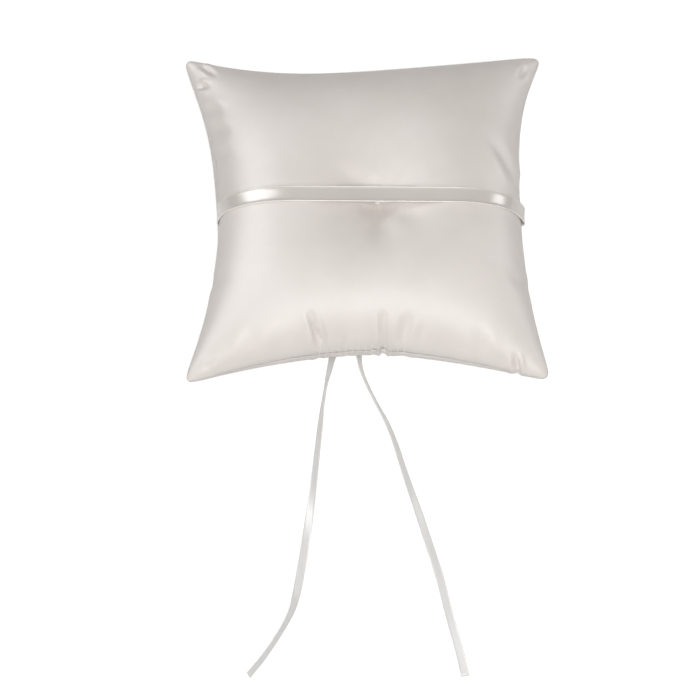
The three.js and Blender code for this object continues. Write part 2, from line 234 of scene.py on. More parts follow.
# %% The outline on plan, in millimetres
LEFT_SIDE = {"waist": 84.2, "at": -0.08, "flare": (22.5, 18.5), "power": (2.0, 2.2)}
RIGHT_SIDE = {"waist": 85.9, "at": 0.30, "flare": (8.9, 38.0), "power": (2.5, 2.5)}
NEAR_SIDE = {"waist": 84.5, "at": 0.05, "flare": (20.6, 22.0), "power": (1.8, 1.55)}
FAR_SIDE = {"waist": 91.0, "at": -0.30, "flare": (22.0, 9.6), "power": (2.0, 1.53)}
CORNER_BLUNT = 4.0  # how much is missing from each corner's tip


def side_reach(side, t):
    """How far a side stands from the middle at t, from -1 to 1 along it."""
    before = side["flare"][0] * np.maximum(side["at"] - t, 0) ** side["power"][0]
    after = side["flare"][1] * np.maximum(t - side["at"], 0) ** side["power"][1]
    return side["waist"] + before + after


def plan(u, v):
    blunt = CORNER_BLUNT * np.abs(u * v) ** 24
    half_width = np.where(u < 0, side_reach(LEFT_SIDE, v), side_reach(RIGHT_SIDE, v)) - blunt
    half_depth = np.where(v < 0, side_reach(NEAR_SIDE, u), side_reach(FAR_SIDE, u)) - blunt
    return u * half_width, v * half_depth

# %% [markdown]
# The back stands steep at the seams and flattens towards the middle. The front lies flat on the table but
# for a dimple at the ribbon's tack. Two flat squares could be blown up by simulation alone, but the
# outline and the height would then be whatever came out. So the form is set first, and the simulation
# only settles it.

# %% Its height, in millimetres
SEAM_HEIGHT = 25.0
SEAM_DRAWN_IN = 1.8  # the strap pulls the left seam in, and the front panel swells out past it
FRONT_BULGE = 3.2
FAR_LEFT_LIFT = 5.0  # this corner sits up a little
CROWN = 30.5
TUFT = (6.0, 0.0)
SIDE_SHAPE = 3.2  # the higher, the later a side turns down towards its seam
FAR_SHAPE = 2.4  # the far side slopes off sooner
RIM_STEEPNESS = 0.43  # the lower, the steeper the cloth stands at the seam
CORNER_THINNING = 0.4


def fullness(u, v):
    """1 over the middle, 0 at the seam, and thinner towards the corners."""
    across = 1 - np.abs(u) ** SIDE_SHAPE
    along = 1 - np.abs(v) ** np.where(v > 0, FAR_SHAPE, SIDE_SHAPE)
    corner = 1 - CORNER_THINNING * (u * v) ** 2
    return np.maximum(across * along, 0) ** RIM_STEEPNESS * corner

# %% Dimples that the tuft and the ribbon's tack draw in, in millimetres
KNOT_DIMPLE = (1.0, 9)  # depth and reach
TUFT_DIMPLE = (11.0, 33)
FACE_DIMPLE = (6.5, 15)


def dimple(x, y, depth, reach):
    distance = np.hypot(x - TUFT[0], y - TUFT[1])
    return depth * np.exp(-((distance / reach) ** 1.5))

# %% The grid of points
CELLS = 96
CROWDING = 0.94  # how much closer together the points are where the sides turn down
steps = np.linspace(-1, 1, CELLS + 1)
steps = (1 - CROWDING) * steps + CROWDING * np.sin(steps * pi / 2)
steps[0], steps[-1] = -1, 1
U, V = np.meshgrid(steps, steps, indexing="ij")
X, Y = plan(U, V)
SAG_AT = 0.2  # the place along the left seam, from -1 to 1
SAG_REACH = 0.35
BULGE_WIDTH = 0.24
left_sag = np.exp(-(((V - SAG_AT) / SAG_REACH) ** 2))
X = X + SEAM_DRAWN_IN * left_sag * np.maximum(-U, 0) ** 8
from_seam = 1 - np.arcsin(np.minimum(np.abs(U), 1)) / (pi / 2)
front_bulge = np.sin(pi * np.clip(from_seam / BULGE_WIDTH, 0, 1)) ** 2
front_X = X - np.where(U < 0, FRONT_BULGE * left_sag * front_bulge, 0)
seam_height = SEAM_HEIGHT + FAR_LEFT_LIFT * np.maximum(-U, 0) ** 3 * np.maximum(V, 0) ** 6
back_height = seam_height + CROWN * fullness(U, V)
back_height = back_height - dimple(X, Y, *KNOT_DIMPLE) - dimple(X, Y, *TUFT_DIMPLE)
front_height = seam_height - seam_height * np.minimum(1.12 * fullness(U, V), 1)
front_height = np.maximum(front_height, dimple(X, Y, *FACE_DIMPLE) - 0.1)

# %% [markdown]
# Both panels are one grid of points each, and they share the points of the seam. The faces wind the other
# way round on the front, so that both sides of the closed case face outwards.

# %% The closed case as points and faces
def grid_index(i, j):
    return i * (CELLS + 1) + j


def closed_case():
    back = np.stack([X, Y, back_height], axis=-1).reshape(-1, 3) * MM
    front = np.stack([front_X, Y, front_height], axis=-1).reshape(-1, 3) * MM
    on_seam = (np.isin(np.abs(U), 1) | np.isin(np.abs(V), 1)).reshape(-1)
    back_index = np.arange(len(back))
    front_index = np.where(on_seam, back_index, -1)
    inner = np.flatnonzero(~on_seam)
    front_index[inner] = len(back) + np.arange(len(inner))
    points = np.vstack([back, front[inner]])
    cells = [(i, j) for i in range(CELLS) for j in range(CELLS)]
    corners = np.array([
        (grid_index(i, j), grid_index(i + 1, j), grid_index(i + 1, j + 1), grid_index(i, j + 1))
        for i, j in cells
    ])
    return points, back_index[corners], front_index[corners][:, ::-1], on_seam


points, back_faces, front_faces, on_seam = closed_case()
print("case has", len(points), "points")

# %% [markdown]
# ## Letting the satin settle
# The case so far is as smooth as blown glass. Real satin was cut flat, so it has cloth to spare along the
# seams and none over the crown. A cloth simulation finds that out: each thread's rest length comes from
# the flat square, a light pressure stands for the filling, and the seam and the tuft stay where they are
# sewn.

# %% Cut the flat squares
CUT_WIDTH = 202.0
CUT_DEPTH = 209.0
SEAM_FULLNESS = 0.05  # the extra cloth that the seam thread has drawn up


def flat_cut(height):
    """Where each point of a panel was before sewing, in millimetres, from the lengths along its rows."""
    placed = np.stack([X, Y, height], axis=-1)
    share = []
    for axis in (0, 1):
        piece_lengths = np.linalg.norm(np.diff(placed, axis=axis), axis=-1)
        run = np.cumsum(piece_lengths, axis=axis)
        run = np.concatenate([np.zeros_like(np.take(run, [0], axis=axis)), run], axis=axis)
        share.append(run / np.take(run, [-1], axis=axis) - 0.5)
    width = CUT_WIDTH * (1 + SEAM_FULLNESS * np.abs(V) ** 6)
    depth = CUT_DEPTH * (1 + SEAM_FULLNESS * np.abs(U) ** 6)
    return np.stack([share[0] * width, share[1] * depth, 0 * height], axis=-1).reshape(-1, 3)


inner = np.flatnonzero(~on_seam)
cut = np.vstack([flat_cut(back_height), flat_cut(front_height)[inner]]) * MM

# %% Run the simulation
PRESSURE = 3.0
FRAMES = 20
MOST_MOVED = 6 * MM
back_freedom = 0.35 + 0.65 * fullness(U, V)
front_freedom = np.full(U.shape, 0.3)
freedom = np.concatenate([back_freedom.reshape(-1), front_freedom.reshape(-1)[inner]])[:, None]


def settle(points):
    """The points after the cloth has settled, none of them moved further than MOST_MOVED."""
    mesh = bpy.data.meshes.new("settling_case")
    faces = np.vstack([back_faces, front_faces]).tolist()
    mesh.from_pydata([tuple(p) for p in points], [], faces)
    case = bpy.data.objects.new("settling_case", mesh)
    bpy.context.scene.collection.objects.link(case)
    case.shape_key_add(name="stuffed")
    flat_key = case.shape_key_add(name="flat")
    flat_key.data.foreach_set("co", cut.astype(np.float32).ravel())
    flat_key.value = 0
    sewn = np.hypot(points[:, 0] - TUFT[0] * MM, points[:, 1] - TUFT[1] * MM) < 4 * MM
    sewn[: on_seam.size] |= on_seam
    group = case.vertex_groups.new(name="sewn")
    group.add([int(i) for i in np.flatnonzero(sewn)], 1.0, "REPLACE")
    cloth = case.modifiers.new("Cloth", "CLOTH")
    cloth.collision_settings.use_collision = False
    settings = cloth.settings
    settings.quality = 6
    settings.mass = 0.3
    settings.tension_stiffness = 15
    settings.compression_stiffness = 15
    settings.shear_stiffness = 5
    settings.bending_stiffness = 0.5
    settings.use_pressure = True
    settings.uniform_pressure_force = PRESSURE
    settings.effector_weights.gravity = 0
    settings.vertex_group_mass = "sewn"
    settings.rest_shape_key = flat_key
    for number in range(1, FRAMES + 1):
        bpy.context.scene.frame_set(number)
    settled = case.evaluated_get(bpy.context.evaluated_depsgraph_get())
    moved = np.empty(len(points) * 3, dtype=np.float32)
    settled.data.vertices.foreach_get("co", moved)
    moved = moved.reshape(-1, 3) - points
    bpy.data.objects.remove(case)
    bpy.context.scene.frame_set(1)
    distance = np.linalg.norm(moved, axis=1, keepdims=True)
    most = MOST_MOVED * freedom
    limited = most * np.tanh(distance / most)
    print("cloth moved", round(float(distance.mean()) * 1000, 1), "mm on average")
    return points + moved / np.maximum(distance, 1e-9) * limited


points = settle(points)
back = points[: on_seam.size].reshape(CELLS + 1, CELLS + 1, 3)
front = back.copy()
front[1:-1, 1:-1] = points[on_seam.size :].reshape(CELLS - 1, CELLS - 1, 3)
print("case is", round(float(points[:, 2].max()) * 1000, 1), "mm thick")

# %% [markdown]
# The simulated grid is too coarse for the sharp little folds at the seams, so each panel gets a new point
# between every two. The four-point rule keeps the curve that runs through the old ones.

# %% Finer panels
def refine(grid):
    """Twice as many cells along the first axis, then along the second."""
    for axis in (0, 1):
        g = np.moveaxis(grid, axis, 0)
        padded = np.concatenate([2 * g[:1] - g[1:2], g, 2 * g[-1:] - g[-2:-1]])
        between = (9 * (padded[1:-2] + padded[2:-1]) - padded[:-3] - padded[3:]) / 16
        fine = np.empty((2 * len(g) - 1,) + g.shape[1:])
        fine[0::2] = g
        fine[1::2] = between
        grid = np.moveaxis(fine, 0, axis)
    return grid


def grid_normals(grid):
    return unit(np.cross(np.gradient(grid, axis=0), np.gradient(grid, axis=1)))


back = refine(back)
front = refine(front)
print("each panel has", back.shape[0] ** 2, "points")

# %% [markdown]
# ## Folds that the needle made
# The last gap in the near seam was closed by hand after stuffing, and the thread drew the satin up into a
# few short tucks. The corners were turned with a blunt stick, which leaves a dent beside each tip. Each
# fold is a groove along a short line, with the spare cloth standing up on both sides of it.

# %% Fold lines: start and end on plan, half width and depth, all in millimetres
SEAM_TUCKS = [
    ((-33.5, -68.5), (-26.6, -84.8), 1.5, 4.2),
    ((-24.5, -79.0), (-21.4, -85.0), 1.4, 0.9),
    ((8.2, -68.0), (8.9, -84.8), 1.35, 4.4),
    ((3.0, -77.0), (4.1, -85.0), 1.3, 1.5),
    ((23.0, -68.0), (19.5, -84.8), 2.6, 1.7),
    ((-12.0, -79.0), (-10.8, -85.0), 1.4, 0.8),
    ((32.0, -75.0), (28.0, -85.0), 2.2, 0.6),
]
CORNER_DENTS = [
    ((81.0, -90.0), (83.5, -100.0), 1.5, 2.6),
    ((-84.0, -93.0), (-90.0, -99.0), 1.5, 0.7),
    ((-84.0, 84.0), (-94.0, 95.0), 1.6, 1.3),
    ((-88.0, 78.0), (-96.0, 82.0), 1.6, 1.6),
    ((86.0, 84.0), (90.5, 95.0), 1.8, 1.4),
]
SIDE_RIPPLES = [
    ((-80.0, 58.0), (-91.5, 68.0), 2.6, 1.0),
    ((-76.0, 42.0), (-88.0, 54.0), 3.0, 1.0),
    ((-74.0, 24.0), (-86.5, 38.0), 3.2, 0.8),
    ((66.0, 46.0), (86.5, 14.0), 3.2, 1.3),
    ((-74.0, -52.0), (-89.0, -42.0), 4.0, 0.6),
    ((74.0, -44.0), (90.0, -50.0), 4.0, 0.7),
    ((60.0, -76.0), (64.0, -92.0), 3.6, 0.8),
    ((-62.0, -74.0), (-66.0, -93.0), 4.0, 0.7),
]
TUFT_PLEATS = [
    ((6.0, 8.5), (5.5, -33.0), 6.0, 2.7),
    ((4.5, 5.0), (3.0, 14.0), 2.6, 0.6),
    ((12.0, -4.0), (34.0, -17.0), 5.0, 0.5),
    ((0.0, -4.0), (-26.0, -14.0), 5.0, 0.4),
    ((12.0, 5.0), (30.0, 24.0), 5.0, 0.5),
    ((0.0, 5.0), (-24.0, 22.0), 5.0, 0.4),
]

# %% Grooves along the lines
FADED_OUT = 1.15  # where on its line a groove has ended, 1 being the line's own end


def fold_depth(grid, lines, deepest):
    """How deep the grooves are at each point. A groove is deepest at that share of its line, from 0 to 1."""
    x, y = grid[..., 0] / MM, grid[..., 1] / MM
    depth = np.zeros(x.shape)
    for (x0, y0), (x1, y1), half_width, deep in lines:
        length = np.hypot(x1 - x0, y1 - y0)
        along = ((x - x0) * (x1 - x0) + (y - y0) * (y1 - y0)) / length**2
        off = ((x - x0) * (y1 - y0) - (y - y0) * (x1 - x0)) / length / half_width
        groove = np.exp(-(off**2)) - 0.4 * np.exp(-((np.abs(off) - 2.0) ** 2))
        before = np.clip(along / deepest, 0, 1)
        after = np.clip((FADED_OUT - along) / (FADED_OUT - deepest), 0, 1)
        reach = before * after
        depth += deep * groove * reach * reach * (3 - 2 * reach)
    return depth[..., None] * MM


plain_back, plain_front = back, front
outward_back, outward_front = grid_normals(back), -grid_normals(front)
sewn_folds = ((SEAM_TUCKS, 0.86), (CORNER_DENTS, 0.75))  # each set with the share where it is deepest
loose_folds = ((SIDE_RIPPLES, 0.7), (TUFT_PLEATS, 0.08))
depth_back = sum(fold_depth(back, *fold) for fold in sewn_folds + loose_folds)
FRONT_SHARE = 0.35  # the thread was pulled up on the back, which draws the front in less
depth_front = FRONT_SHARE * sum(fold_depth(front, *fold) for fold in sewn_folds)
back = plain_back - outward_back * depth_back
front = plain_front - outward_front * depth_front
print("deepest fold is", round(float(depth_back.max()) * 1000, 1), "mm")

# %% [markdown]
# The seam is where both panels end, so they have to agree on it: it goes midway between them. The front
# panel is pressed flat where it lies on the table, and it bulges up a little over the two ribbon tails
# under it.

# %% Join at the seam, and lie on the table
TABLE_GAP = 0.1 * MM
RIBBON_ROOM = 0.6 * MM
DRAPE_REACH = 11 * MM


def seam_ring(grid):
    return np.concatenate([grid[:-1, 0], grid[-1, :-1], grid[:0:-1, -1], grid[0, :0:-1]])


for edge in (np.s_[0, :], np.s_[-1, :], np.s_[:, 0], np.s_[:, -1]):
    midway = (back[edge] + front[edge]) / 2
    back[edge] = midway
    front[edge] = midway

least_height = np.full(front.shape[:2], TABLE_GAP)
for line in tail_lines.values():
    for centre, roll in line:
        away = np.hypot(front[..., 0] - centre[0], front[..., 1] - centre[1])
        top = centre[2] + RIBBON_WIDTH / 2 * abs(sin(roll)) + RIBBON_ROOM
        lie = np.clip((away - RIBBON_WIDTH / 2) / DRAPE_REACH, 0, 1)
        least_height = np.maximum(least_height, top * (1 - lie * lie * (3 - 2 * lie)))
front[..., 2] = np.maximum(front[..., 2], least_height)
seam = seam_ring(back)
print("seam is", round(route_length(np.vstack([seam, seam[:1]])) * 1000), "mm round")

# %% [markdown]
# Each panel becomes a thin shell of cloth, closed all round, by following its points about a third
# of a millimetre inwards. The two shells meet at the seam as two folded edges of satin do.

# %% Panels as thin shells
CLOTH = 0.35 * MM


def grid_faces(rows, columns, flipped):
    i, j = np.meshgrid(np.arange(rows - 1), np.arange(columns - 1), indexing="ij")
    corner = (i * columns + j).reshape(-1)
    quads = np.stack([corner, corner + columns, corner + columns + 1, corner + 1], axis=-1)
    return quads[:, ::-1] if flipped else quads


def rim_indices(rows, columns):
    index = np.arange(rows * columns).reshape(rows, columns)
    return seam_ring(index)


def shell(name, grid, facing):
    """facing is 1 where the grid's normals point out of the pillow, and -1 where they point into it."""
    rows, columns = grid.shape[:2]
    inside = grid - grid_normals(grid) * facing * CLOTH
    count = rows * columns
    outer_faces = grid_faces(rows, columns, facing < 0)
    inner_faces = grid_faces(rows, columns, facing > 0) + count
    rim = rim_indices(rows, columns)
    following = np.roll(rim, -1)
    rim_faces = np.stack([following, rim, rim + count, following + count], axis=-1)
    if facing < 0:
        rim_faces = rim_faces[:, ::-1]
    every_point = np.vstack([grid.reshape(-1, 3), inside.reshape(-1, 3)])
    every_face = np.vstack([outer_faces, inner_faces, rim_faces]).tolist()
    return make_object(name, every_point, every_face, every_point[:, :2])


back_panel = shell("satin_back_panel", back, 1)
front_panel = shell("satin_front_panel", front, -1)
for panel, node in ((back_panel, "back_panel"), (front_panel, "front_panel")):
    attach(panel, "root")
    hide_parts(node)

# %% [markdown]
# ## The seam thread
# A lockstitch holds the two panels together. On the finished pillow it hides in the fold, and shows only
# as a fine line where the pull of the filling opens the seam a little. So it is a thin thread just
# inside.

# %% Seam thread
def tube(name, centre, radius, sides=6, closed=False):
    """A thread of one radius along a route. It is capped at both ends unless the route is closed."""
    if closed:
        tangent = unit(np.roll(centre, -1, axis=0) - np.roll(centre, 1, axis=0))
    else:
        tangent = unit(np.gradient(centre, axis=0))
    level = unit(np.cross(tangent, np.where(np.abs(tangent[:, 2:]) > 0.9, (1.0, 0, 0), (0, 0, 1.0))))
    upright = np.cross(level, tangent)
    angles = np.linspace(0, tau, sides, endpoint=False)
    ring = level[:, None] * np.cos(angles)[:, None] + upright[:, None] * np.sin(angles)[:, None]
    points = (centre[:, None] + ring * radius).reshape(-1, 3)
    count = len(centre)
    faces = []
    for i in range(count if closed else count - 1):
        for j in range(sides):
            a, b = i * sides + j, i * sides + (j + 1) % sides
            c, d = ((i + 1) % count) * sides + (j + 1) % sides, ((i + 1) % count) * sides + j
            faces.append((a, b, c, d))
    if not closed:
        faces.append(tuple(range(sides))[::-1])
        faces.append(tuple((count - 1) * sides + j for j in range(sides)))
    return make_object(name, points, faces)


THREAD_INSET = 0.5 * MM
THREAD_RADIUS = 0.12 * MM
middle = np.array([0.0, 0.0, SEAM_HEIGHT * MM])
seam_inward = unit((middle - seam) * (1, 1, 0))
thread_line = (seam + seam_inward * THREAD_INSET)[::2]
seam_thread = tube("lockstitch_seam_thread", thread_line, THREAD_RADIUS, closed=True)
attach(seam_thread, "root")
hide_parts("seam_thread")

# %% [markdown]
# ## The filling
# Polyester fibre fills the case right up to the cloth. It is never seen, but it is a piece of its own, so
# it gets the same form as the case, a little inside it.

# %% Fibre filling
FILLING_INSET = 1.5 * MM
FOLD_WIDTH = 5  # grid points: the fibre stays out of a fold by this much on each side
LOFT = slice(None, None, 3)  # the fibre follows the cloth's large forms only
HALF_RIM = np.array([0, 0, 0.3 * MM])  # the wad is not quite sharp at its rim


def widened(depth):
    """The greatest depth within FOLD_WIDTH points on all sides."""
    for axis in (0, 1):
        room = [(FOLD_WIDTH, FOLD_WIDTH) if k == axis else (0, 0) for k in range(3)]
        padded = np.pad(depth, room, mode="edge")
        depth = np.max([np.take(padded, range(k, k + depth.shape[axis]), axis=axis)
                        for k in range(2 * FOLD_WIDTH + 1)], axis=0)
    return np.maximum(depth, 0)


def filling_layer(plain, outward, depth):
    return (plain - outward * (FILLING_INSET + widened(depth)))[LOFT, LOFT]


top_layer = filling_layer(plain_back, outward_back, depth_back)
bottom_layer = filling_layer(plain_front, outward_front, depth_front)
bottom_layer[..., 2] = np.maximum(bottom_layer[..., 2], least_height[LOFT, LOFT] + FILLING_INSET)
rim_line = top_layer * 0.5 + bottom_layer * 0.5
for edge in (np.s_[0, :], np.s_[-1, :], np.s_[:, 0], np.s_[:, -1]):
    drawn_in = unit((middle - rim_line[edge]) * (1, 1, 0)) * FILLING_INSET
    top_layer[edge] = rim_line[edge] + drawn_in + HALF_RIM
    bottom_layer[edge] = rim_line[edge] + drawn_in - HALF_RIM
rows, columns = top_layer.shape[:2]
count = rows * columns
rim = rim_indices(rows, columns)
following = np.roll(rim, -1)
filling_faces = np.vstack([
    grid_faces(rows, columns, False),
    grid_faces(rows, columns, True) + count,
    np.stack([following, rim, rim + count, following + count], axis=-1),
])
filling_points = np.vstack([top_layer.reshape(-1, 3), bottom_layer.reshape(-1, 3)])
filling = make_object("fibre_wad", filling_points, filling_faces.tolist())
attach(filling, "root")
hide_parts("fibre_filling")

# %% [markdown]
# ## The hand strap
# A 10 mm satin ribbon is caught in both side seams. It is pulled taut over the crown, so it follows the
# pillow down its shoulders and bridges the dimple. Taking the upper hull of the pillow's profile does
# just that.

# %% Hand strap
STRAP_WIDTH = 10 * MM
STRAP_THICKNESS = 0.4 * MM
STRAP_CURL = 0.25 * MM
STRAP_LIFT = 0.25 * MM  # its underside clears the cloth by this much
outside = [tuple(p) for p in back.reshape(-1, 3)]
surface = BVHTree.FromPolygons(outside, grid_faces(*back.shape[:2], False).tolist())


def height_at(x, y):
    place, _, _, _ = surface.ray_cast(Vector((x, y, 1)), Vector((0, 0, -1)))
    return place.z if place else None


def upper_hull(profile):
    """The taut line over a profile of (x, z) points that run from left to right."""
    hull = []
    for p in profile:
        while len(hull) > 1:
            (ax, az), (bx, bz) = hull[-2], hull[-1]
            if (bx - ax) * (p[1] - az) - (bz - az) * (p[0] - ax) < 0:
                break
            hull.pop()
        hull.append(p)
    return hull


def seam_at_strap(row):
    """Where the strap's middle meets a side seam, as x and z."""
    return [float(np.interp(0, row[:, 1], row[:, k])) for k in (0, 2)]

# %% The strap's line
STRAP_FREE_ABOVE = 32 * MM  # below this height the strap follows the side down to the seam
STRAP_SPAN = np.linspace(-84.0, 86.5, 120) * MM


def strap_line():
    profile = []
    for x in STRAP_SPAN:
        heights = [height_at(x, y) for y in np.linspace(-STRAP_WIDTH / 2, STRAP_WIDTH / 2, 7)]
        heights = [h for h in heights if h is not None]
        if heights and max(heights) > STRAP_FREE_ABOVE:
            profile.append((x, max(heights)))
    left_x, left_z = seam_at_strap(back[0])
    right_x, right_z = seam_at_strap(back[-1])
    left_end = [(left_x + 0.5 * MM, left_z - 0.3 * MM), (left_x - 0.3 * MM, left_z + 2.5 * MM)]
    right_end = [
        (right_x + 0.5 * MM, right_z + 4.5 * MM), (right_x + 1.3 * MM, right_z + 2.2 * MM),
        (right_x + 0.9 * MM, right_z + 0.4 * MM), (right_x - 0.6 * MM, right_z - 0.5 * MM),
    ]
    taut = left_end + upper_hull(profile) + right_end
    return smooth_route([(x, 0, z) for x, z in taut], 1.2 * MM)

# %% The strap itself
strap_centre = strap_line()
strap_tangent = unit(np.gradient(strap_centre, axis=0))
strap_out = unit(np.cross((0, -1, 0), strap_tangent))
strap_centre = strap_centre + strap_out * (STRAP_THICKNESS / 2 + STRAP_LIFT)
across = np.tile((0.0, 1.0, 0.0), (len(strap_centre), 1))
strap = ribbon("satin_hand_strap", strap_centre, across, STRAP_WIDTH, STRAP_THICKNESS, STRAP_CURL)
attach(strap, "root")
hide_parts("hand_strap")
print("strap is", round(route_length(strap_centre) * 1000), "mm between the seams")

# %% [markdown]
# ## Stitches
# Three sets of stitches show on the finished pillow: a short row across each end of the strap, and the
# slanted whip stitches that closed the near seam after the pillow was stuffed. Each is its own short
# length of thread.

# %% Joining many short threads into one piece
def join(name, pieces):
    """One object from several. The pieces' own objects are taken away."""
    points, faces = [], []
    for piece in pieces:
        start = len(points)
        points += [tuple(v.co) for v in piece.data.vertices]
        faces += [tuple(start + k for k in f.vertices) for f in piece.data.polygons]
        bpy.data.objects.remove(piece)
    return make_object(name, points, faces)

# %% Whip stitches over the near seam
WHIP_PITCH = 3.6 * MM
WHIP_SLANT = 1.3 * MM
WHIP_RADIUS = 0.28 * MM
CLOSING = (-27 * MM, 22 * MM)


def near_place(grid, x, row):
    """The point on a panel at x, and at this row from the near seam."""
    line = grid[:, row]
    return np.array([np.interp(x, line[:, 0], line[:, k]) for k in range(3)])


stitches = []
for x in np.arange(CLOSING[0], CLOSING[1], WHIP_PITCH):
    over = [
        near_place(front, x, 2),
        near_place(front, x + WHIP_SLANT * 0.3, 1),
        near_place(back, x + WHIP_SLANT * 0.4, 0),
        near_place(back, x + WHIP_SLANT * 0.6, 1),
        near_place(back, x + WHIP_SLANT * 0.8, 3),
        near_place(back, x + WHIP_SLANT, 4),
    ]
    outward = np.array([
        (0, -0.3, -0.9), (0, -0.9, -0.4), (0, -1, 0), (0, -0.9, 0.4), (0, -0.6, 0.8), (0, -0.5, 0.85),
    ])
    height = np.array([-0.15, 0.2, 0.3, 0.25, 0.25, -0.15])[:, None] * MM
    line = smooth_route(np.array(over) + outward * height, 0.3 * MM)
    stitches.append(tube("whip_stitch", line, WHIP_RADIUS))
closing_stitches = join("whip_stitches_near_seam", stitches)
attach(closing_stitches, "root")
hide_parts("closing_thread")
print("closed with", len(stitches), "whip stitches")

# %% A row of stitches across each end of the strap
STITCH_LENGTH = 1.7 * MM
STITCH_GAP = 0.5 * MM
STITCH_RADIUS = 0.16 * MM
first_stitch = -STRAP_WIDTH / 2 + 0.4 * MM
stitch_starts = np.arange(first_stitch, STRAP_WIDTH / 2 - STITCH_LENGTH, STITCH_LENGTH + STITCH_GAP)
strap_stitches = {}
for side, index in (("left", 3), ("right", -4)):
    place = strap_centre[index]
    outward = strap_out[index]
    row = []
    for y in stitch_starts:
        ends = np.array([0, 0.2, 0.5, 0.8, 1.0])
        rise = np.array([0.0, 0.28, 0.34, 0.28, 0.0])[:, None] * MM
        line = place + np.outer(y + ends * STITCH_LENGTH, (0, 1, 0)) + rise * outward
        row.append(tube("strap_stitch", line, STITCH_RADIUS))
    strap_stitches[side] = join("strap_stitches_" + side, row)
    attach(strap_stitches[side], "root")
    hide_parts("strap_stitch_" + side)

# %% [markdown]
# ## Materials
# One function turns an sRGB hex colour to linear, and one adds a node with its settings and links.

# %% Material helpers
def linear(hex_colour):
    channels = [int(hex_colour[i : i + 2], 16) / 255 for i in (1, 3, 5)]
    return tuple(c / 12.92 if c <= 0.04045 else ((c + 0.055) / 1.055) ** 2.4 for c in channels) + (1.0,)


def add_node(tree, kind, settings=None, values=None, links=None):
    """Adds a node, sets its properties and input values, and links outputs of other nodes to its inputs."""
    node = tree.nodes.new(kind)
    for key, value in (settings or {}).items():
        setattr(node, key, value)
    for key, value in (values or {}).items():
        node.inputs[key].default_value = value
    for key, output in (links or {}).items():
        tree.links.new(output, node.inputs[key])
    return node


def new_material(name):
    material = bpy.data.materials.new(name)
    material.use_nodes = True
    material.node_tree.nodes.clear()
    return material, material.node_tree


def finish_material(tree, shader):
    add_node(tree, "ShaderNodeOutputMaterial", links={"Surface": shader.outputs["BSDF"]})

# %% [markdown]
# Satin is polyester woven with long floats: each warp thread passes over many weft threads before it dips
# under one. The floats lie side by side like combed hair, which gives the soft, wide highlight. They are
# about 0.1 mm wide, too fine to show, so here they are drawn four or five times as wide, as faint broken
# streaks. The ribbons have woven edges as well, where the weft turns back. Along each edge a narrow,
# lighter band is painted: a painted highlight for the light that the thicker edge catches.

# %% Satin
def satin(name, light, shade, roughness, float_length, float_width, bump, edge_highlight=None):
    """The last argument is (half the ribbon's width, the edge's width, the colour of the painted highlight
    along it), and None for cut cloth.
    """
    material, tree = new_material(name)
    where = add_node(tree, "ShaderNodeTexCoord")
    floats_place = add_node(
        tree, "ShaderNodeMapping",
        values={"Scale": (1 / float_width, 1 / float_length, 1)},
        links={"Vector": where.outputs["UV"]},
    )
    floats = add_node(
        tree, "ShaderNodeTexNoise", values={"Scale": 1.0, "Detail": 3.0, "Roughness": 0.6},
        links={"Vector": floats_place.outputs["Vector"]},
    )
    cloud = add_node(
        tree, "ShaderNodeTexNoise", values={"Scale": 26.0, "Detail": 3.0, "Roughness": 0.55},
        links={"Vector": where.outputs["Object"]},
    )
    both = add_node(
        tree, "ShaderNodeMath", settings={"operation": "MULTIPLY_ADD"},
        values={1: 0.35}, links={0: floats.outputs["Fac"], 2: cloud.outputs["Fac"]},
    )
    spread = add_node(
        tree, "ShaderNodeMapRange", values={"From Min": 0.45, "From Max": 0.9},
        links={"Value": both.outputs["Value"]},
    )
    colour = add_node(
        tree, "ShaderNodeMix", settings={"data_type": "RGBA"},
        values={6: linear(shade), 7: linear(light)}, links={0: spread.outputs["Result"]},
    ).outputs[2]
    # Both edges of a ribbon get a lighter colour: a painted highlight for the light that the thicker edge
    # catches.
    if edge_highlight:
        half_width, edge_width, edge_highlight_colour = edge_highlight
        place = add_node(tree, "ShaderNodeSeparateXYZ", links={"Vector": where.outputs["UV"]})
        from_middle = add_node(
            tree, "ShaderNodeMath", settings={"operation": "ABSOLUTE"}, links={0: place.outputs["X"]},
        )
        edge = add_node(
            tree, "ShaderNodeMapRange", settings={"interpolation_type": "SMOOTHSTEP"},
            values={"From Min": half_width - edge_width, "From Max": half_width - edge_width * 0.6},
            links={"Value": from_middle.outputs["Value"]},
        )
        colour = add_node(
            tree, "ShaderNodeMix", settings={"data_type": "RGBA"},
            values={7: linear(edge_highlight_colour)}, links={0: edge.outputs["Result"], 6: colour},
        ).outputs[2]
    relief = add_node(
        tree, "ShaderNodeBump", values={"Strength": 0.3, "Distance": bump},
        links={"Height": floats.outputs["Fac"]},
    )
    gloss = add_node(
        tree, "ShaderNodeMapRange", values={"To Min": roughness - 0.015, "To Max": roughness + 0.015},
        links={"Value": floats.outputs["Fac"]},
    )
    shader = add_node(
        tree, "ShaderNodeBsdfPrincipled",
        values={"IOR": 1.64, "Specular IOR Level": 0.8, "Sheen Weight": 0.15, "Sheen Roughness": 0.4},
        links={
            "Base Color": colour,
            "Normal": relief.outputs["Normal"],
            "Roughness": gloss.outputs["Result"],
        },
    )
    finish_material(tree, shader)
    return material

# %% The three satins
ivory_satin = satin("ivory_bridal_satin", "#eee7e3", "#e5ded9", 0.5, 3.0 * MM, 0.4 * MM, 0.02 * MM)
strap_satin = satin(
    "double_face_satin_ribbon", "#e0dad5", "#dad3cd", 0.23, 4.0 * MM, 0.5 * MM, 0.003 * MM,
    edge_highlight=(STRAP_WIDTH / 2, 0.7 * MM, "#f6f1ec"),
)
tail_satin = satin(
    "narrow_satin_ribbon", "#eeedec", "#e6e5e3", 0.4, 4.0 * MM, 0.5 * MM, 0.004 * MM,
    edge_highlight=(RIBBON_WIDTH / 2, 0.5 * MM, "#f3f1ee"),
)

